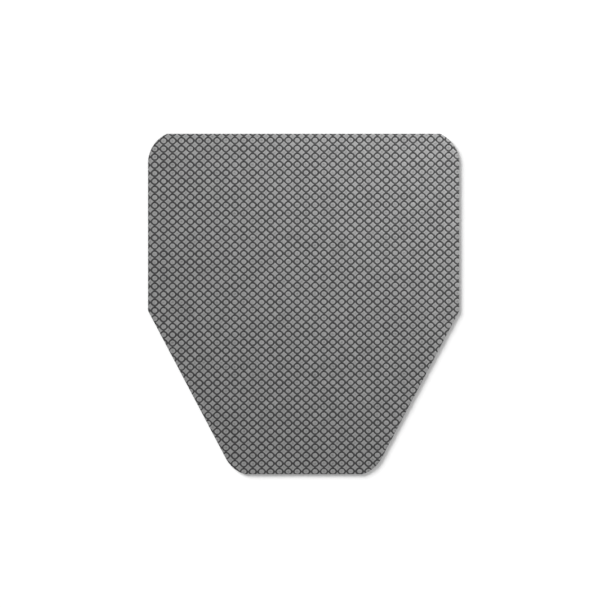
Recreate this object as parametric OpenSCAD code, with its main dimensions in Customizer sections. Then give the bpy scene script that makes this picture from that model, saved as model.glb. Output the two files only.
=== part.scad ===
// Disposable floor mat with a tapered nose: five plies laminated face to face
// and die-cut flush, held to the floor by four self-stick pads, each of which
// is covered by a release paper until the mat is laid.
// +Z up, +Y towards the wide end, +X to the right seen from above.
// The origin is on the floor, below the middle of the outline.

/* [Outline] */
// Width between the two straight sides
mat_w = 457; // [400:1:700]
// Length from the wide end to the nose
mat_l = 500; // [380:1:800]
// Length of the straight sides, from the wide end's edge to the shoulders
side_l = 260; // [160:1:300]
// Width of the nose between the corners its edges would meet in
nose_w = 204; // [160:1:280]
// Radius of the four rounded corners
corner_r = 47; // [20:1:60]
// Strip slit off the wide end, which flattens the ends of its corner arcs
wide_trim = 4; // [0:0.5:8]
// Strip slit off the nose, which flattens the ends of its corner arcs
nose_trim = 2; // [0:0.5:8]

/* [Plies] */
// Thickness of the open net of rings on top
net_t = 0.7; // [0.4:0.1:1.5]
// Thickness of the nonwoven face that fills the net's openings
face_t = 1.0; // [0.5:0.1:2]
// Thickness of the ply that spreads liquid sideways
wick_t = 0.6; // [0.3:0.1:1.5]
// Thickness of the absorbent core
core_t = 1.3; // [0.8:0.1:4]
// Thickness of the leak-proof film below
film_t = 0.15; // [0.1:0.05:0.5]

/* [Self-stick pads] */
// Length of a pad, across the mat
pad_l = 80; // [30:1:85]
// Width of a pad, along the mat
pad_w = 25; // [10:1:50]
// Thickness of a pad
pad_t = 0.2; // [0.15:0.05:0.5]
// Distance from the wide end's edge to the middle of its two pads
wide_pad_y = 65; // [55:1:110]
// Distance from the nose's edge to the middle of its two pads
nose_pad_y = 70; // [60:1:110]
// Distance from the mat's side to the end of a release paper
paper_inset = 16; // [4:1:18]
// Thickness of a release paper
paper_t = 0.1; // [0.1:0.05:0.3]
// Bare end of a release paper past its pad, to lift it by
lift_l = 12; // [5:1:14]

/* [Hidden] */
$fn = 96;
LEFT = -1;
RIGHT = 1;

// Slant of the two tapering sides: x lost per y, and their angle from +Y
taper_l = mat_l - side_l;
slope = (mat_w - nose_w) / 2 / taper_l;
slant = atan(slope);

// The untrimmed blank, whose corner arcs run all the way round
blank_top = mat_l / 2 + wide_trim;
blank_bottom = -mat_l / 2 - nose_trim;
shoulder_y = mat_l / 2 - side_l;
tip_x = nose_w / 2 - nose_trim * slope;
tip_cut = corner_r * tan((90 - slant) / 2);
waste_growth = 1.2;
arc_lap = 0.05; // the arcs bulge this far past the edges, to cross them cleanly

// Heights of each ply's lower face, from the floor up
pad_z = paper_t;
film_z = pad_z + pad_t;
core_z = film_z + film_t;
wick_z = core_z + core_t;
face_z = wick_z + wick_t;
net_z = face_z + face_t;

// Where the papers lie: middle in y, and outer end in x
wide_y = mat_l / 2 - wide_pad_y;
nose_y = -mat_l / 2 + nose_pad_y;
wide_end_x = mat_w / 2 - paper_inset;
nose_end_x = nose_w / 2 + (nose_pad_y - pad_w / 2) * slope - paper_inset;

// What is cut away outside a rounded corner: the kite between the arc's centre,
// its two ends and the corner, grown past the mat's edges, less the arc's disc
module corner_waste(centre, end_a, corner, end_b) {
    grown = [for (p = [end_a, corner, end_b]) centre + waste_growth * (p - centre)];
    difference() {
        polygon([centre, grown[0], grown[1], grown[2]]);
        translate(centre) circle(r = corner_r + arc_lap);
    }
}

module wide_corner_waste() {
    corner = [mat_w / 2, blank_top];
    corner_waste(
        corner - [corner_r, corner_r], corner - [corner_r, 0], corner, corner - [0, corner_r]
    );
}

module nose_corner_waste() {
    corner = [tip_x, blank_bottom];
    arc_start = corner - [tip_cut, 0];
    corner_waste(
        arc_start + [0, corner_r], arc_start, corner, corner + tip_cut * [sin(slant), cos(slant)]
    );
}

// The die-cut outline that every ply shares
module outline() {
    difference() {
        polygon([
            [-mat_w / 2, mat_l / 2], [mat_w / 2, mat_l / 2], [mat_w / 2, shoulder_y],
            [nose_w / 2, -mat_l / 2], [-nose_w / 2, -mat_l / 2], [-mat_w / 2, shoulder_y]
        ]);
        for (flip = [0, 1]) mirror([flip, 0]) {
            wide_corner_waste();
            nose_corner_waste();
        }
    }
}

module ply(z, thickness) {
    translate([0, 0, z]) linear_extrude(height = thickness) outline();
}

// A strip lying along X whose outer end is at end_x on the given side
module strip(side, end_x, y, z, length, thickness) {
    start_x = side == RIGHT ? end_x - length : -end_x;
    translate([start_x, y - pad_w / 2, z]) cube([length, pad_w, thickness]);
}

module ring_net() { color("#4b4b4c") ply(net_z, net_t); }
module face_fleece() { color("#a3a3a2") ply(face_z, face_t); }
module wicking_ply() { color("#7c7c7c") ply(wick_z, wick_t); }
module absorbent_core() { color("#8e8e8d") ply(core_z, core_t); }
module barrier_film() { color("#595a5c") ply(film_z, film_t); }

module stick_pad(side, end_x, y) {
    color("#cebc8e") strip(side, end_x - lift_l, y, pad_z, pad_l, pad_t);
}

module release_paper(side, end_x, y) {
    color("#bfb197") strip(side, end_x, y, 0, pad_l + lift_l, paper_t);
}

ring_net();
face_fleece();
wicking_ply();
absorbent_core();
barrier_film();
stick_pad(LEFT, wide_end_x, wide_y);  // stick_pad_wide_left
stick_pad(RIGHT, wide_end_x, wide_y);  // stick_pad_wide_right
stick_pad(LEFT, nose_end_x, nose_y);  // stick_pad_nose_left
stick_pad(RIGHT, nose_end_x, nose_y);  // stick_pad_nose_right
release_paper(LEFT, wide_end_x, wide_y);  // release_paper_wide_left
release_paper(RIGHT, wide_end_x, wide_y);  // release_paper_wide_right
release_paper(LEFT, nose_end_x, nose_y);  // release_paper_nose_left
release_paper(RIGHT, nose_end_x, nose_y);  // release_paper_nose_right
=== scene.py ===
"""Restroom floor mat: a net of rings over nonwoven plies, built round its packed frame.

Laid out as an add-on whose operators each build one piece or group of like pieces.
Lengths are in metres unless a name ends in _share, which counts ring pitches.
"""

import math

import bpy
import numpy as np
from bpy.props import FloatProperty, FloatVectorProperty, IntProperty, PointerProperty
from bpy.types import Operator, Panel, PropertyGroup
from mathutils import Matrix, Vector


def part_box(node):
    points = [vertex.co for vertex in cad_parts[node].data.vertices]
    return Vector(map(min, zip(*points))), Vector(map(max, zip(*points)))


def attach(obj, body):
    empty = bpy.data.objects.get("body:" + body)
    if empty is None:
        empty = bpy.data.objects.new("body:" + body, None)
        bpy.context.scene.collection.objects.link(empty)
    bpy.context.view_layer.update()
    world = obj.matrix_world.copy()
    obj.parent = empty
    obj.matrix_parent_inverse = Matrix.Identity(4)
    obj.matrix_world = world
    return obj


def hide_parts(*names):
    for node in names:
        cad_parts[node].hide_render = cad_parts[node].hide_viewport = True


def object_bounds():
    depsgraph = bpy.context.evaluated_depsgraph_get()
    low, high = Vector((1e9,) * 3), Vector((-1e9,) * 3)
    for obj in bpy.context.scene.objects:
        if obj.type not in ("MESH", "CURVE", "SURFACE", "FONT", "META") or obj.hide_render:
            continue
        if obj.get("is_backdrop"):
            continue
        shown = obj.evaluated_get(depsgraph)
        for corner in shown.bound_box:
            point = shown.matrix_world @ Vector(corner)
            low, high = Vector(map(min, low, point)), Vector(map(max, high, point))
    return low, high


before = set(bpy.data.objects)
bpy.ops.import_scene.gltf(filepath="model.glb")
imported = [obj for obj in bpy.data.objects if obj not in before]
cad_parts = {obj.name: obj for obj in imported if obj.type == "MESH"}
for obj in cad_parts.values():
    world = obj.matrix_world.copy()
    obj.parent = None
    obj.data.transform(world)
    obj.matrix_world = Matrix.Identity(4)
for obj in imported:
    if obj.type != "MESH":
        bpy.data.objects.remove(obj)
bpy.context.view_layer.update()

bl_info = {
    "name": "Restroom Floor Mat",
    "version": (1, 0, 0),
    "blender": (4, 5, 0),
    "location": "View3D > Sidebar > Floor Mat",
    "description": "Builds a die-cut absorbent floor mat with a net of rings on top",
    "category": "Object",
}

MM = 0.001
FLOOR_HALF = 8.0
# Directions' heights between which the sky eases from its horizon's strength to its own
SKY_EASE = (0.14, 0.34)
SUN_FROM = Vector((-1.60, 1.44, 1))
SOFT_BOX_AT = Vector((0.43, 0.70, 0.78))
NET_LOW, NET_HIGH = (corner.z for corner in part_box("ring_net"))
# The four corners that each carry a stick pad and its release paper
CORNERS = ("wide_left", "wide_right", "nose_left", "nose_right")


# Sizes and colours

def length(name, description, default):
    return FloatProperty(
        name=name, description=description, default=default, unit="LENGTH", precision=5
    )


def colour(name, description, default):
    return FloatVectorProperty(
        name=name, description=description, default=default, subtype="COLOR", min=0, max=1
    )


class LatticeSizes(PropertyGroup):
    """Where the rings lie."""

    pitch_x: length("Pitch across", "Distance between ring centres across the mat", 13.08 * MM)
    pitch_y: length("Pitch along", "Distance between ring centres along the mat", 11.87 * MM)
    start_x: length("Start across", "X of the ring centre nearest the middle", 3.78 * MM)
    start_y: length("Start along", "Y of the ring centre nearest the middle", 3.34 * MM)
    row_rise: FloatProperty(
        name="Row rise", description="How far a row of rings climbs per unit across",
        default=0.0045,
    )


class NetSizes(PropertyGroup):
    """The rings of the net and the bridges that join them. Shares are of a ring pitch."""

    inner_foot: FloatProperty(name="Inner foot", description="Ring's inner foot", default=0.277)
    inner_crown: FloatProperty(
        name="Inner crown", description="Where the crown starts", default=0.321
    )
    outer_crown: FloatProperty(
        name="Outer crown", description="Where the crown ends", default=0.437
    )
    outer_foot: FloatProperty(name="Outer foot", description="Ring's outer foot", default=0.484)
    squareness: FloatProperty(
        name="Squareness", description="How far the openings flatten between bridges", default=0.05
    )
    bridge: FloatProperty(
        name="Bridge", description="Angle of half a bridge, seen from the ring's centre",
        default=math.radians(11), subtype="ANGLE",
    )
    saddle: length("Saddle", "How far a bridge dips below the rings", 0.12 * MM)
    sink: length("Sink", "How deep the strands' feet sit in the fleece", 0.35 * MM)
    width_spread: FloatProperty(
        name="Width spread", description="Spread of a ring's strand width, in pitches",
        default=0.008,
    )
    arcs: IntProperty(name="Arcs", description="Steps between two bridges", default=3, min=1)
    cut_arcs: IntProperty(
        name="Cut arcs", description="Steps between two bridges on a cut ring", default=8, min=1
    )


class FleeceSizes(PropertyGroup):
    """The relief of the fleece between the strands."""

    pillow: length("Pillow", "Rise of the fleece between the strands", 0.50 * MM)
    dimple: length("Dimple", "Depth of the dimple in each pillow", 0.16 * MM)
    crush: length("Crush", "How far the die crushes the top edge", 0.25 * MM)
    crush_width: length("Crush width", "Width of the crushed edge", 1.6 * MM)


class MatColours(PropertyGroup):
    """Finishes, as linear colours."""

    net: colour("Net", "Charcoal vinyl of the net", (0.041, 0.041, 0.042))
    fleece: colour("Fleece", "Light grey nonwoven face", (0.293, 0.293, 0.293))
    # Painted shade: the darker grey mixed into each pillow's dimple, standing in for the shade
    # that falls in the hollow
    dimple: colour("Dimple", "Pressed fibres in a dimple", (0.145, 0.145, 0.145))
    wicking: colour("Wicking ply", "Grey nonwoven", (0.20, 0.20, 0.20))
    core: colour("Core", "Fluff of the absorbent core", (0.27, 0.27, 0.265))
    film: colour("Film", "Leak-proof film", (0.10, 0.102, 0.108))
    adhesive: colour("Adhesive", "Self-stick pads", (0.62, 0.50, 0.27))
    paper: colour("Release paper", "Siliconed kraft paper", (0.52, 0.44, 0.31))


class StageSizes(PropertyGroup):
    """Floor, lights and camera."""

    view_width: length("View width", "Width of the camera's view at the mat", 0.893)
    camera_height: length("Camera height", "Height of the camera over the mat", 4.0)
    camera_x: length("Camera shift", "How far right of the middle the camera hangs", 0.54 * MM)
    sky_power: FloatProperty(
        name="Sky", description="Strength of the light all round", default=0.526
    )
    horizon_power: FloatProperty(
        name="Horizon", description="Strength of the light near the horizon", default=1.1
    )
    sun_power: FloatProperty(
        name="Sun power", description="Strength of the light from the upper left", default=4.54
    )
    sun_spread: FloatProperty(
        name="Sun spread", description="Angle that the light from the upper left fills",
        default=math.radians(34), subtype="ANGLE",
    )
    box_size: length("Soft box size", "Side of the soft box that lights the mat", 0.5)
    box_power: FloatProperty(
        name="Soft box power", description="Watts of that soft box", default=11.6
    )


SETTINGS = {
    "floor_mat_lattice": LatticeSizes,
    "floor_mat_net": NetSizes,
    "floor_mat_fleece": FleeceSizes,
    "floor_mat_colours": MatColours,
    "floor_mat_stage": StageSizes,
}


# The outline

def outline_corners(node):
    """The corners of a flat node's convex outline, anticlockwise: its points by their angle."""
    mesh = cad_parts[node].data
    points = np.empty(len(mesh.vertices) * 3, np.float32)
    mesh.vertices.foreach_get("co", points)
    corners = np.unique(np.round(points.reshape(-1, 3)[:, :2].astype(float), 6), axis=0)
    return corners[np.argsort(np.arctan2(corners[:, 1], corners[:, 0]))]


def edge_lines(corners):
    """Each edge's outward unit normal n, and its distance n . a from the origin."""
    along = np.roll(corners, -1, axis=0) - corners
    normals = np.stack([along[:, 1], -along[:, 0]], axis=1)
    normals /= np.linalg.norm(normals, axis=1, keepdims=True)
    return normals, (normals * corners).sum(1)


def gauge(xy, corners):
    """The outline's gauge, the largest (n . p) / (n . a): under 1 inside and 1 on the edge."""
    normals, distances = edge_lines(corners)
    return np.max(xy @ (normals / distances[:, None]).T, axis=-1)


def depth_inside(xy, corners):
    """Distance of each point from the nearest edge line, n . a - n . p."""
    normals, distances = edge_lines(corners)
    return np.min(distances - xy @ normals.T, axis=-1)


def drawn_in(xy, corners):
    """Points past the outline, drawn straight towards the middle onto it: p / gauge(p)."""
    return xy / np.maximum(gauge(xy, corners), 1)[..., None]


def outline_loop(corners, step):
    """Points about step apart all round the outline."""
    ahead = np.roll(corners, -1, axis=0)
    counts = np.maximum(1, np.round(np.linalg.norm(ahead - corners, axis=1) / step)).astype(int)
    first = np.repeat(corners, counts, axis=0)
    share = np.concatenate([np.arange(n) / n for n in counts])[:, None]
    return first + share * (np.repeat(ahead, counts, axis=0) - first)


# The lattice of rings

def to_lattice(xy, sizes):
    """Lattice coordinates, whole numbers at ring centres: u = (x - x0) / px and
    v = (y - y0 - rise (x - x0)) / py."""
    x, y = xy[..., 0] - sizes.start_x, xy[..., 1] - sizes.start_y
    return np.stack([x / sizes.pitch_x, (y - sizes.row_rise * x) / sizes.pitch_y], axis=-1)


def from_lattice(uv, sizes):
    """The inverse of to_lattice: x = x0 + px u and y = y0 + py v + rise px u."""
    x = uv[..., 0] * sizes.pitch_x
    y = uv[..., 1] * sizes.pitch_y + sizes.row_rise * x
    return np.stack([x + sizes.start_x, y + sizes.start_y], axis=-1)


def lattice_cells(corners, sizes):
    """Every whole-number (u, v) whose cell may touch the mat."""
    reach = np.ceil(np.abs(to_lattice(corners, sizes)).max(0)).astype(int) + 1
    u, v = np.meshgrid(np.arange(-reach[0], reach[0] + 1), np.arange(-reach[1], reach[1] + 1))
    return np.stack([u.ravel(), v.ravel()], axis=-1).astype(float)


def smooth_step(x):
    """3 t^2 - 2 t^3 with t = x held between 0 and 1."""
    t = np.clip(x, 0, 1)
    return t * t * (3 - 2 * t)


def edge_crush(xy, corners, sizes):
    """How far the die has pressed the top down: crush (1 - d / w)^2 within w of the edge."""
    near = 1 - np.clip(depth_inside(xy, corners) / sizes.crush_width, 0, 1)
    return sizes.crush * near * near


# Meshes

def make_piece(name, points, faces, material, uv=None, sharp_angle=None):
    """A closed mesh object from its points and faces, smooth, with a lattice UV where given."""
    mesh = bpy.data.meshes.new(name)
    mesh.from_pydata(points, [], faces)
    mesh.update()
    mesh.polygons.foreach_set("use_smooth", np.ones(len(mesh.polygons), bool))
    if uv is not None:
        corner_points = np.empty(len(mesh.loops), np.int32)
        mesh.loops.foreach_get("vertex_index", corner_points)
        layer = mesh.uv_layers.new(name="lattice")
        layer.data.foreach_set("uv", uv[corner_points].astype(np.float32).ravel())
    if sharp_angle is not None:
        mesh.set_sharp_from_angle(angle=sharp_angle)
    mesh.materials.append(material)
    piece = bpy.data.objects.new(name, mesh)
    bpy.context.scene.collection.objects.link(piece)
    return piece


def without_strays(points, quads):
    """The points that the quads use, and the quads renumbered to them."""
    used, renumbered = np.unique(quads, return_inverse=True)
    return points[used], renumbered.reshape(quads.shape)


def rim_loop(points, quads):
    """The points of edges that only one quad uses, by their angle round the middle."""
    edges = np.concatenate([quads[:, [k, (k + 1) % 4]] for k in range(4)])
    _, place, uses = np.unique(
        np.sort(edges, axis=1), axis=0, return_index=True, return_counts=True
    )
    rim = np.unique(edges[place[uses == 1]])
    return rim[np.argsort(np.arctan2(points[rim, 1], points[rim, 0]))]


def stacked_loops(loops):
    """A closed solid from loops of as many points, bottom one first: quads between each loop
    and the next, and a flat face on the first and the last."""
    count, points = len(loops[0]), np.concatenate(loops)
    here = np.arange(count)
    ahead = np.roll(here, -1)
    level = np.arange(len(loops) - 1)[:, None] * count
    above = level + count
    quads = np.stack([level + here, level + ahead, above + ahead, above + here], axis=-1)
    last = (len(loops) - 1) * count
    faces = quads.reshape(-1, 4).tolist()
    return points, faces + [here[::-1].tolist(), (last + here).tolist()]


def wander(count, waves, seed):
    """A smooth closed noise round a loop, from -1 to 1: a sum of sines with random phases."""
    rng = np.random.default_rng(seed)
    turns = rng.integers(waves[0], waves[1], 60)
    phases = rng.uniform(0, math.tau, 60)
    angle = np.linspace(0, math.tau, count, endpoint=False)[:, None]
    noise = np.sin(angle * turns + phases).sum(1)
    return noise / np.abs(noise).max()


# Materials

class Nodes:
    """A new material's node tree, with short calls to add and join nodes."""

    def __init__(self, title, base, roughness, specular=0.5, sheen=0.0):
        self.material = bpy.data.materials.new(title)
        self.material.use_nodes = True
        self.tree = self.material.node_tree
        self.shader = self.tree.nodes["Principled BSDF"]
        for name, value in (("Base Color", base), ("Roughness", roughness),
                            ("Specular IOR Level", specular), ("Sheen Weight", sheen)):
            self.feed(self.shader.inputs[name], value)

    def feed(self, socket, value):
        """Joins a socket to another one, or sets it to a number, a vector or a colour."""
        if isinstance(value, bpy.types.NodeSocket):
            self.tree.links.new(value, socket)
        else:
            socket.default_value = (*value, 1) if socket.type == "RGBA" else value

    def add(self, kind, operation=None, **inputs):
        """A new node, its inputs fed by name, or by number as _0, _1 and so on."""
        node = self.tree.nodes.new(kind)
        if operation is not None:
            node.operation = operation
        for key, value in inputs.items():
            self.feed(node.inputs[int(key[1:])] if key[1:].isdigit() else node.inputs[key], value)
        return node

    def place(self):
        return self.tree.nodes.new("ShaderNodeTexCoord").outputs["Object"]

    def lattice(self):
        node = self.tree.nodes.new("ShaderNodeUVMap")
        node.uv_map = "lattice"
        return node.outputs["UV"]

    def noise(self, vector, scale, detail=2.0, roughness=0.5):
        node = self.add(
            "ShaderNodeTexNoise", Vector=vector, Scale=scale, Detail=detail, Roughness=roughness
        )
        return node.outputs["Fac"]

    def maths(self, operation, a, b=0.0):
        return self.add("ShaderNodeMath", operation, _0=a, _1=b).outputs[0]

    def remap(self, value, low, high, to_low, to_high):
        return self.add(
            "ShaderNodeMapRange", Value=value, _1=low, _2=high, _3=to_low, _4=to_high
        ).outputs["Result"]

    def varied(self, noise, low, high):
        """A noise, which lies mostly from 0.3 to 0.7, spread from low to high."""
        return self.remap(noise, 0.3, 0.7, low, high)

    def mix(self, share, a, b, blend="MIX"):
        node = self.tree.nodes.new("ShaderNodeMix")
        node.data_type = "RGBA"
        node.blend_type = blend
        for number, value in ((0, share), (6, a), (7, b)):
            self.feed(node.inputs[number], value)
        return node.outputs[2]

    def scaled(self, tint, factor):
        """tint times factor, a grey number socket."""
        return self.mix(1.0, tint, factor, "MULTIPLY")

    def finish(self, tint=None, height=None, depth=0.0, roughness=None):
        """The material, with its colour, the bump of a height times a depth, and its gloss."""
        if tint is not None:
            self.feed(self.shader.inputs["Base Color"], tint)
        if roughness is not None:
            self.feed(self.shader.inputs["Roughness"], roughness)
        if height is not None:
            bump = self.add("ShaderNodeBump", Height=height, Distance=depth)
            self.feed(self.shader.inputs["Normal"], bump.outputs["Normal"])
        return self.material


def fibres(nodes, place, size):
    """Fine crossing fibres, 1 on a fibre and 0 between. Each of three noises is drawn out along
    its own axis, and a fibre lies wherever a noise n passes its middle: 1 - |n - 0.5| / 0.09."""
    tallest = None
    for turn in (0.4, 1.5, 2.5):
        turned = nodes.add(
            "ShaderNodeMapping", Vector=place, Rotation=(0, 0, turn),
            Scale=(1 / size, 0.14 / size, 1 / size),
        ).outputs["Vector"]
        away = nodes.maths("ABSOLUTE", nodes.maths("SUBTRACT", nodes.noise(turned, 1.0), 0.5))
        fibre = nodes.remap(away, 0.0, 0.09, 1.0, 0.0)
        tallest = fibre if tallest is None else nodes.maths("MAXIMUM", tallest, fibre)
    return tallest


def vinyl(colours):
    """Matt charcoal vinyl with a faint bloom and a fine grain."""
    nodes = Nodes("net_vinyl", colours.net, 0.62, specular=0.35)
    place = nodes.place()
    bloom = nodes.varied(nodes.noise(place, 160.0, 3.0), 0.80, 1.20)
    grain = nodes.noise(place, 2600.0, 2.0)
    rough = nodes.varied(grain, 0.55, 0.72)
    return nodes.finish(nodes.scaled(colours.net, bloom), grain, 0.04 * MM, rough)


def fleece_with_painted_dimple_shade(colours):
    """Grey nonwoven, smoother in the dimple at the middle of each pillow, and darker there by
    painted shade.
    """
    nodes = Nodes("face_nonwoven", colours.fleece, 0.9, specular=0.2, sheen=0.12)
    place, lattice = nodes.place(), nodes.lattice()
    fibre = fibres(nodes, place, 0.42 * MM)
    warp = nodes.noise(place, 420.0, 2.0)
    # Painted shade in each dimple's hollow: full in the rings' pillows, a little less in the
    # stars', deeper or fainter at random from cell to cell
    painted_dimple_shade = None
    for shift in (0.5, 0.0):
        moved = nodes.add("ShaderNodeVectorMath", "ADD", _0=lattice, _1=(shift, shift, 0))
        wrapped = nodes.add("ShaderNodeVectorMath", "FRACTION", _0=moved.outputs[0])
        centred = nodes.add("ShaderNodeVectorMath", "SUBTRACT", _0=wrapped.outputs[0],
                            _1=(0.5, 0.5, 0))
        away = nodes.add("ShaderNodeVectorMath", "LENGTH", _0=centred.outputs[0]).outputs["Value"]
        away = nodes.maths("ADD", away, nodes.varied(warp, -0.05, 0.05))
        cell = nodes.add("ShaderNodeVectorMath", "FLOOR", _0=moved.outputs[0]).outputs[0]
        luck = nodes.add("ShaderNodeTexWhiteNoise", Vector=cell).outputs["Value"]
        depth = 1.0 if shift == 0.5 else 0.85
        painted_shade_spot = nodes.maths("MULTIPLY", nodes.remap(away, 0.04, 0.20, depth, 0.0),
                           nodes.remap(luck, 0.0, 1.0, 0.45, 1.0))
        painted_dimple_shade = painted_shade_spot if painted_dimple_shade is None else nodes.maths("MAXIMUM", painted_dimple_shade, painted_shade_spot)
    tint = nodes.mix(painted_dimple_shade, colours.fleece, colours.dimple)
    mottle = nodes.varied(nodes.noise(place, 45.0, 2.0), 0.96, 1.04)
    speckle = nodes.remap(fibre, 0.0, 1.0, 0.84, 1.14)
    tint = nodes.scaled(nodes.scaled(tint, mottle), speckle)
    return nodes.finish(tint, fibre, 0.03 * MM)


def plain_fibre(name, tint, size, spread, depth):
    """A ply of loose fibres seen at its cut edge."""
    nodes = Nodes(name, tint, 0.95, specular=0.15, sheen=0.1)
    fibre = fibres(nodes, nodes.place(), size)
    shade = nodes.remap(fibre, 0.0, 1.0, 1 - spread, 1 + spread)
    return nodes.finish(nodes.scaled(tint, shade), fibre, depth)


def film_plastic(colours):
    """Thin embossed polyethylene: soft gloss over a fine pebble."""
    nodes = Nodes("barrier_film", colours.film, 0.42, specular=0.5)
    place = nodes.place()
    pebble = nodes.add("ShaderNodeTexVoronoi", Vector=place, Scale=1400.0).outputs["Distance"]
    haze = nodes.varied(nodes.noise(place, 60.0, 2.0), 0.85, 1.15)
    rough = nodes.varied(nodes.noise(place, 300.0, 2.0), 0.34, 0.5)
    return nodes.finish(nodes.scaled(colours.film, haze), pebble, 0.05 * MM, rough)


def tacky(colours):
    """Amber adhesive with a wrinkled skin."""
    nodes = Nodes("adhesive", colours.adhesive, 0.35, specular=0.5)
    place = nodes.place()
    skin = nodes.noise(place, 500.0, 4.0, 0.6)
    shade = nodes.varied(nodes.noise(place, 90.0, 2.0), 0.85, 1.12)
    return nodes.finish(nodes.scaled(colours.adhesive, shade), skin, 0.06 * MM,
                        nodes.varied(skin, 0.28, 0.45))


def siliconed_paper(colours):
    """Kraft paper with a soft gloss and faint pulp clouds."""
    nodes = Nodes("release_paper", colours.paper, 0.45, specular=0.4)
    place = nodes.place()
    clouds = nodes.varied(nodes.noise(place, 220.0, 4.0, 0.65), 0.93, 1.05)
    pulp = fibres(nodes, place, 0.5 * MM)
    rough = nodes.remap(pulp, 0.0, 1.0, 0.38, 0.55)
    return nodes.finish(nodes.scaled(colours.paper, clouds), pulp, 0.01 * MM, rough)


# Operators

class PieceOperator:
    """What the operators below share."""

    bl_options = {"REGISTER", "UNDO"}

    @staticmethod
    def settings(context, *names):
        return [getattr(context.scene, "floor_mat_" + name) for name in names]


class FLOORMAT_OT_ring_net(PieceOperator, Operator):
    """Build the charcoal net of bridged rings, cut off at the outline"""

    bl_idname = "floor_mat.ring_net"
    bl_label = "Ring Net"

    def execute(self, context):
        lattice, net, fleece, colours = self.settings(
            context, "lattice", "net", "fleece", "colours"
        )
        corners = outline_corners("ring_net")
        cells = lattice_cells(corners, lattice)
        cell_corners = cells[:, None] + np.array(
            [[-0.5, -0.5], [-0.5, 0.5], [0.5, -0.5], [0.5, 0.5]]
        )
        inside = gauge(from_lattice(cell_corners, lattice), corners).max(1) < 1
        whole = self.blocks(cells[inside], net.arcs, net)
        cut = self.blocks(cells[~inside], net.cut_arcs, net)
        blocks = np.concatenate([whole, cut])
        points, quads = self.skin(blocks, lattice, net, fleece, corners)
        piece = make_piece("ring_net_strands", points, quads.tolist(), vinyl(colours),
                           uv=to_lattice(points[:, :2], lattice), sharp_angle=math.radians(80))
        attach(piece, "mat")
        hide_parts("ring_net")
        return {"FINISHED"}

    @staticmethod
    def rails(cells, arcs, net):
        """Four rails round each ring, from its inner foot over the crown to its outer foot,
        as (u, v, height share). An inner rail's radius is r (1 - q sin(2 a)^2), which flattens
        the opening between bridges. At a bridge the outer rails run on to the line half way to
        the next ring, at radius 0.5 / cos(a). Each ring is a little wider or narrower than the
        next, but for the bridges' ends, which two rings share."""
        span = net.bridge
        between = np.linspace(span, math.pi / 2 - span, arcs + 1)[:-1]
        quarter = np.concatenate([[-span, 0], between])
        side = np.repeat(np.arange(4), len(quarter)) * math.pi / 2
        from_side = np.tile(quarter, 4)
        angle = side + from_side
        radii = np.array([net.inner_foot, net.inner_crown, net.outer_crown, net.outer_foot])
        flat = net.squareness * np.array([1, 1, 0, 0])
        radii = radii * (1 - flat * np.sin(2 * angle[:, None]) ** 2)
        radii = np.repeat(radii[None], len(cells), axis=0)
        wider = np.random.default_rng(7).normal(0, net.width_spread, (len(cells), 1, 1))
        radii += wider.clip(-0.02, 0.02) * np.array([-1, -1, 0.7, 0.7])
        bridged = np.abs(from_side) < span * 1.001
        radii[:, bridged, 2:] = (0.5 / np.cos(from_side[bridged]))[:, None]
        turn = np.stack([np.cos(angle), np.sin(angle)], axis=-1)
        uv = cells[:, None, None] + radii[..., None] * turn[None, :, None]
        share = np.repeat(np.array([[0.0, 1.0, 1.0, 0.0]]), len(angle), axis=0)
        share[bridged, 2] = 1 - net.saddle / (NET_HIGH - NET_LOW + net.sink)
        share = np.broadcast_to(share, radii.shape)
        return np.concatenate([uv, share[..., None]], axis=-1)

    def blocks(self, cells, arcs, net):
        """Six-sided blocks, one between each step of a ring and the next, as eight corners:
        the four rails at one angle, then the same at the next."""
        rails = self.rails(cells, arcs, net)
        return np.concatenate([rails, np.roll(rails, -1, axis=1)], axis=2).reshape(-1, 8, 3)

    @staticmethod
    def skin(blocks, lattice, net, fleece, corners):
        """The outer faces of all blocks that reach inside the outline, as one closed mesh.
        A face that two blocks share is inside the net and is left out."""
        xy = from_lattice(blocks[..., :2], lattice)
        kept = (gauge(xy, corners) < 1).any(1)
        blocks, xy = blocks[kept], drawn_in(xy[kept], corners)
        foot = NET_LOW - net.sink
        z = foot + (NET_HIGH - foot) * blocks[..., 2]
        z -= edge_crush(xy, corners, fleece) * (blocks[..., 2] > 0)
        points = np.concatenate([xy, z[..., None]], axis=-1).reshape(-1, 3)
        _, first, number = np.unique(
            np.round(points, 7), axis=0, return_index=True, return_inverse=True
        )
        points, corner = points[first], number.reshape(-1, 8)
        faces = corner[:, [[0, 1, 5, 4], [1, 2, 6, 5], [2, 3, 7, 6], [3, 0, 4, 7],
                           [0, 3, 2, 1], [4, 5, 6, 7]]].reshape(-1, 4)
        _, first, uses = np.unique(
            np.sort(faces, axis=1), axis=0, return_index=True, return_counts=True
        )
        return points, faces[first[uses == 1]]


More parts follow.
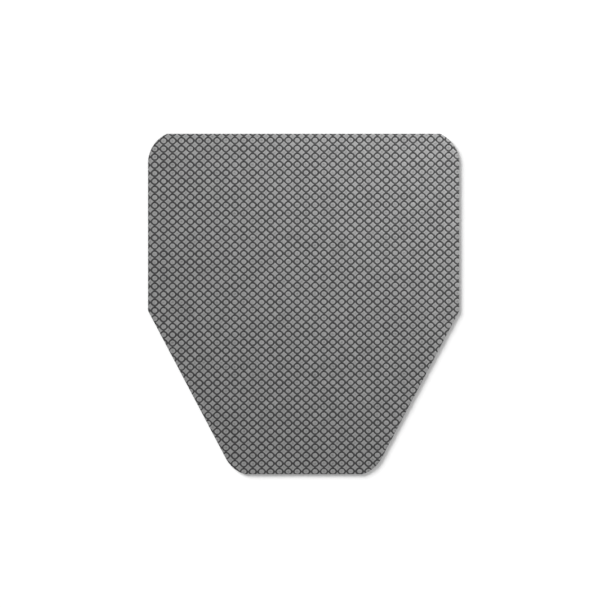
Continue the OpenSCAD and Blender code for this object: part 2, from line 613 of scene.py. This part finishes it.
class FLOORMAT_OT_face_fleece(PieceOperator, Operator):
    """Build the fleece face, which swells up through the net's rings and stars"""

    bl_idname = "floor_mat.face_fleece"
    bl_label = "Face Fleece"

    # Grid lines of half a cell: two in the ring's opening, the last under the strand's far side
    GRID_STOPS = (0.0, 0.12, 0.27, 0.46)
    # Cells whose centre is nearer the outline than this many pitches keep straight lines
    SQUARE_NEAR = 0.75
    # How far from a strand a pillow has its full height, and how wide its dimple is, in pitches
    PILLOW_RISE = 0.08
    DIMPLE_WIDTH = 0.09

    def execute(self, context):
        lattice, net, fleece, colours = self.settings(
            context, "lattice", "net", "fleece", "colours"
        )
        corners = outline_corners("face_fleece")
        points, quads = self.top(corners, lattice)
        uv = to_lattice(points[:, :2], lattice)
        points[:, 2] += self.relief(uv, net, fleece) - edge_crush(points[:, :2], corners, fleece)
        rim = rim_loop(points, quads)
        floor = points[rim] * (1, 1, 0) + (0, 0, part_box("face_fleece")[0].z)
        below = len(points) + np.arange(len(rim))
        wall = np.stack([below, np.roll(below, -1), np.roll(rim, -1), rim], axis=-1)
        faces = np.concatenate([quads, wall]).tolist() + [below[::-1].tolist()]
        points = np.concatenate([points, floor])
        piece = make_piece("face_fleece_pillows", points, faces, fleece_with_painted_dimple_shade(colours),
                           uv=to_lattice(points[:, :2], lattice), sharp_angle=math.radians(60))
        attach(piece, "mat")
        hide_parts("face_fleece")
        return {"FINISHED"}

    def top(self, corners, lattice):
        """A grid on the lattice, its lines spaced by the stops and rounded, with the quads
        that reach inside the outline and their outer points drawn in onto it."""
        half = np.array(self.GRID_STOPS)
        stops = np.concatenate([half, [0.5], 1 - half[:0:-1]])
        reach = np.ceil(np.abs(to_lattice(corners, lattice)).max(0)).astype(int) + 1
        lines = [(np.arange(-r, r)[:, None] + stops).ravel() for r in reach]
        u, v = np.meshgrid(*lines, indexing="ij")
        uv = self.rounded(np.stack([u, v], axis=-1), corners, lattice)
        xy = from_lattice(uv, lattice)
        inside = gauge(xy, corners) < 1
        number = np.arange(u.size).reshape(u.shape)
        quads = np.stack(
            [number[:-1, :-1], number[1:, :-1], number[1:, 1:], number[:-1, 1:]], axis=-1
        )
        touched = inside[:-1, :-1] | inside[1:, :-1] | inside[1:, 1:] | inside[:-1, 1:]
        flat = drawn_in(xy, corners).reshape(-1, 2)
        height = np.full((len(flat), 1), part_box("face_fleece")[1].z)
        return without_strays(np.hstack([flat, height]), quads[touched])

    def rounded(self, uv, corners, lattice):
        """Grid points moved so that a cell's lines run round its ring, as the strand does.
        With p from the ring's centre and c = max(|u|, |v|), p becomes c p / |p| as far out as
        the last stop, and eases back to p at the cell's edge. Cells near the outline stay
        square, so that their lines meet it in order."""
        centre = np.round(uv)
        depth = depth_inside(from_lattice(centre, lattice), corners)
        from_ring = uv - centre
        square = np.abs(from_ring).max(-1, keepdims=True)
        pull = square / np.maximum(np.linalg.norm(from_ring, axis=-1, keepdims=True), 1e-9)
        last = self.GRID_STOPS[-1]
        ease = np.clip((square - last) / (0.5 - last), 0, 1)
        moved = centre + from_ring * (pull + (1 - pull) * ease)
        return np.where((depth > self.SQUARE_NEAR * lattice.pitch_x)[..., None], moved, uv)

    @classmethod
    def relief(cls, uv, net, fleece):
        """Height over the ply: a pillow wherever there is no strand, and a dimple in its
        middle. The pillow is smooth_step(g / rise), where g is the gap to the nearest strand:
        |r - m| - w from a ring of middle m and half width w, r being the distance from the
        ring's centre, or |across| - b from a bridge. The dimple is exp(-(d / s)^2)."""
        from_ring = np.abs(uv - np.round(uv))
        ring = np.linalg.norm(from_ring, axis=1)
        star = np.linalg.norm(from_ring - 0.5, axis=1)
        middle = (net.inner_crown + net.outer_crown) / 2
        half_width = (net.outer_foot - net.inner_foot) / 2
        gap = np.abs(ring - middle) - half_width
        across, along = np.sort(from_ring, axis=1).T
        bridge = across - 0.5 * math.tan(net.bridge) + np.clip(middle - along, 0, 1)
        gap = np.where(along > middle, np.minimum(gap, bridge), gap)
        pillow = smooth_step(gap / cls.PILLOW_RISE)
        dimple = np.exp(-((np.minimum(ring, star) / cls.DIMPLE_WIDTH) ** 2))
        return fleece.pillow * pillow - fleece.dimple * dimple


class FLOORMAT_OT_plies(PieceOperator, Operator):
    """Build the wicking ply, the absorbent core and the film, with their cut edges"""

    bl_idname = "floor_mat.plies"
    bl_label = "Plies and Film"

    # Distance between the points round a ply's edge, and the waves that roughen it all round
    EDGE_STEP = 1.2 * MM
    EDGE_WAVES = (150, 700)

    def execute(self, context):
        (colours,) = self.settings(context, "colours")
        wicking = plain_fibre("wicking_nonwoven", colours.wicking, 0.45 * MM, 0.18, 0.04 * MM)
        core = plain_fibre("core_fluff", colours.core, 0.6 * MM, 0.22, 0.06 * MM)
        film = film_plastic(colours)
        pads = ["stick_pad_" + corner for corner in CORNERS]
        # Node, finish, its slot, how ragged the edge is, seed, and what the ply lies on
        for node, material, slot, ragged, seed, below in (
            ("wicking_ply", wicking, "wicking_nonwoven", 0.10 * MM, 3, ["absorbent_core_sheet"]),
            ("absorbent_core", core, "core_fluff", 0.28 * MM, 4, ["barrier_film_sheet"]),
            ("barrier_film", film, "barrier_film", 0.02 * MM, 5, pads),
        ):
            corners = outline_corners(node)
            points, faces = self.slab(node, corners, ragged, seed)
            piece = make_piece(node + "_sheet", points, faces, material,
                               sharp_angle=math.radians(50))
            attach(piece, "mat")
            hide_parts(node)
        return {"FINISHED"}

    @classmethod
    def slab(cls, node, corners, ragged, seed):
        """Loops up the ply's edge, each drawn in by ragged (1 + noise) / 2 and least at
        mid height, where the fibres stand out, closed by a flat face above and below."""
        low, high = (corner.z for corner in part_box(node))
        loop = outline_loop(corners, cls.EDGE_STEP)
        inward = -loop / np.linalg.norm(loop, axis=1, keepdims=True)
        loops = []
        for level, share in enumerate((0.0, 0.3, 0.7, 1.0)):
            noise = (1 + wander(len(loop), cls.EDGE_WAVES, seed * 10 + level)) / 2
            pinch = 0.4 + 0.6 * abs(2 * share - 1)
            xy = loop + inward * (ragged * noise * pinch)[:, None]
            z = np.full((len(loop), 1), low + (high - low) * share)
            loops.append(np.hstack([xy, z]))
        return stacked_loops(loops)


class FLOORMAT_OT_pads(PieceOperator, Operator):
    """Finish the self-stick pads and the release papers under the mat"""

    bl_idname = "floor_mat.pads"
    bl_label = "Pads and Papers"

    def execute(self, context):
        (colours,) = self.settings(context, "colours")
        adhesive, paper = tacky(colours), siliconed_paper(colours)
        for corner in CORNERS:
            for kind, material in (("stick_pad_", adhesive), ("release_paper_", paper)):
                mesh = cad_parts[kind + corner].data
                mesh.materials.clear()
                mesh.materials.append(material)
        return {"FINISHED"}


class FLOORMAT_OT_stage(PieceOperator, Operator):
    """Set the floor, the soft lights and the camera"""

    bl_idname = "floor_mat.stage"
    bl_label = "Stage"

    def execute(self, context):
        (stage,) = self.settings(context, "stage")
        scene = context.scene
        self.floor(scene)
        self.sky(scene, stage)
        self.lights(scene, stage)
        self.camera(scene, stage)
        scene.view_settings.view_transform = "Standard"
        return {"FINISHED"}

    @staticmethod
    def floor(scene):
        nodes = Nodes("studio_floor", (0.92, 0.92, 0.92), 0.9, specular=0.0)
        mesh = bpy.data.meshes.new("floor")
        turns = ((-1, -1), (1, -1), (1, 1), (-1, 1))
        mesh.from_pydata([(x * FLOOR_HALF, y * FLOOR_HALF, 0) for x, y in turns],
                         [], [(0, 1, 2, 3)])
        mesh.materials.append(nodes.finish())
        floor = bpy.data.objects.new("floor", mesh)
        scene.collection.objects.link(floor)
        floor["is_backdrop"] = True

    @staticmethod
    def sky(scene, stage):
        """An even white dome, brighter near the horizon so that a low view shows a white
        background: its strength falls from horizon_power to sky_power as the direction's
        height rises."""
        world = bpy.data.worlds.new("studio")
        world.use_nodes = True
        tree = world.node_tree
        background = tree.nodes["Background"]
        background.inputs["Color"].default_value = (1, 1, 1, 1)
        direction = tree.nodes.new("ShaderNodeTexCoord").outputs["Generated"]
        height = tree.nodes.new("ShaderNodeSeparateXYZ")
        strength = tree.nodes.new("ShaderNodeMapRange")
        levels = (*SKY_EASE, stage.horizon_power, stage.sky_power)
        for socket, number in zip(strength.inputs[1:5], levels):
            socket.default_value = number
        tree.links.new(direction, height.inputs["Vector"])
        tree.links.new(height.outputs["Z"], strength.inputs["Value"])
        tree.links.new(strength.outputs["Result"], background.inputs["Strength"])
        scene.world = world

    @staticmethod
    def lights(scene, stage):
        """A wide soft sun from the upper left lights the floor alone, so the mat's edge throws
        a soft shadow to the right and towards the nose. A soft box near the wide end lights
        the mat alone."""
        sun = bpy.data.lights.new("sun", "SUN")
        sun.energy, sun.angle = stage.sun_power, stage.sun_spread
        box = bpy.data.lights.new("soft_box", "AREA")
        box.energy, box.size = stage.box_power, stage.box_size
        pieces = [thing for thing in scene.objects if thing.type == "MESH"]
        for light, place, lit in (
            (sun, SUN_FROM, [p for p in pieces if p.name == "floor"]),
            (box, SOFT_BOX_AT, [p for p in pieces if p.name != "floor"]),
        ):
            lamp = bpy.data.objects.new(light.name, light)
            lamp.location = place
            lamp.rotation_euler = (-place).to_track_quat("-Z", "Y").to_euler()
            lamp.visible_camera = False
            receivers = bpy.data.collections.new("lit_by_" + light.name)
            for piece in lit:
                receivers.objects.link(piece)
            lamp.light_linking.receiver_collection = receivers
            scene.collection.objects.link(lamp)

    @staticmethod
    def camera(scene, stage):
        """Straight down from the given height; the lens is sensor x height / view width."""
        camera = bpy.data.cameras.new("camera")
        camera.sensor_width = 36.0
        camera.lens = camera.sensor_width * stage.camera_height / stage.view_width
        camera.clip_end = 100
        view = bpy.data.objects.new("camera", camera)
        view.location = (stage.camera_x, 0, stage.camera_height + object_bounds()[1][2])
        scene.collection.objects.link(view)
        scene.camera = view


OPERATORS = (
    FLOORMAT_OT_face_fleece,
    FLOORMAT_OT_ring_net,
    FLOORMAT_OT_plies,
    FLOORMAT_OT_pads,
    FLOORMAT_OT_stage,
)


class FLOORMAT_PT_panel(Panel):
    """Lists the mat's operators and sizes"""

    bl_label = "Floor Mat"
    bl_idname = "FLOORMAT_PT_panel"
    bl_space_type = "VIEW_3D"
    bl_region_type = "UI"
    bl_category = "Floor Mat"

    def draw(self, context):
        for operator in OPERATORS:
            self.layout.operator(operator.bl_idname)
        for attribute, group in SETTINGS.items():
            column = self.layout.box().column()
            column.label(text=group.__doc__)
            for name in group.__annotations__:
                column.prop(getattr(context.scene, attribute), name)


def register():
    for cls in (*SETTINGS.values(), *OPERATORS, FLOORMAT_PT_panel):
        bpy.utils.register_class(cls)
    for attribute, group in SETTINGS.items():
        setattr(bpy.types.Scene, attribute, PointerProperty(type=group))


def unregister():
    for attribute in SETTINGS:
        delattr(bpy.types.Scene, attribute)
    for cls in reversed((*SETTINGS.values(), *OPERATORS, FLOORMAT_PT_panel)):
        bpy.utils.unregister_class(cls)


def main():
    register()
    bpy.ops.floor_mat.face_fleece()
    bpy.ops.floor_mat.ring_net()
    bpy.ops.floor_mat.plies()
    bpy.ops.floor_mat.pads()
    bpy.ops.floor_mat.stage()


if __name__ == "__main__":
    main()
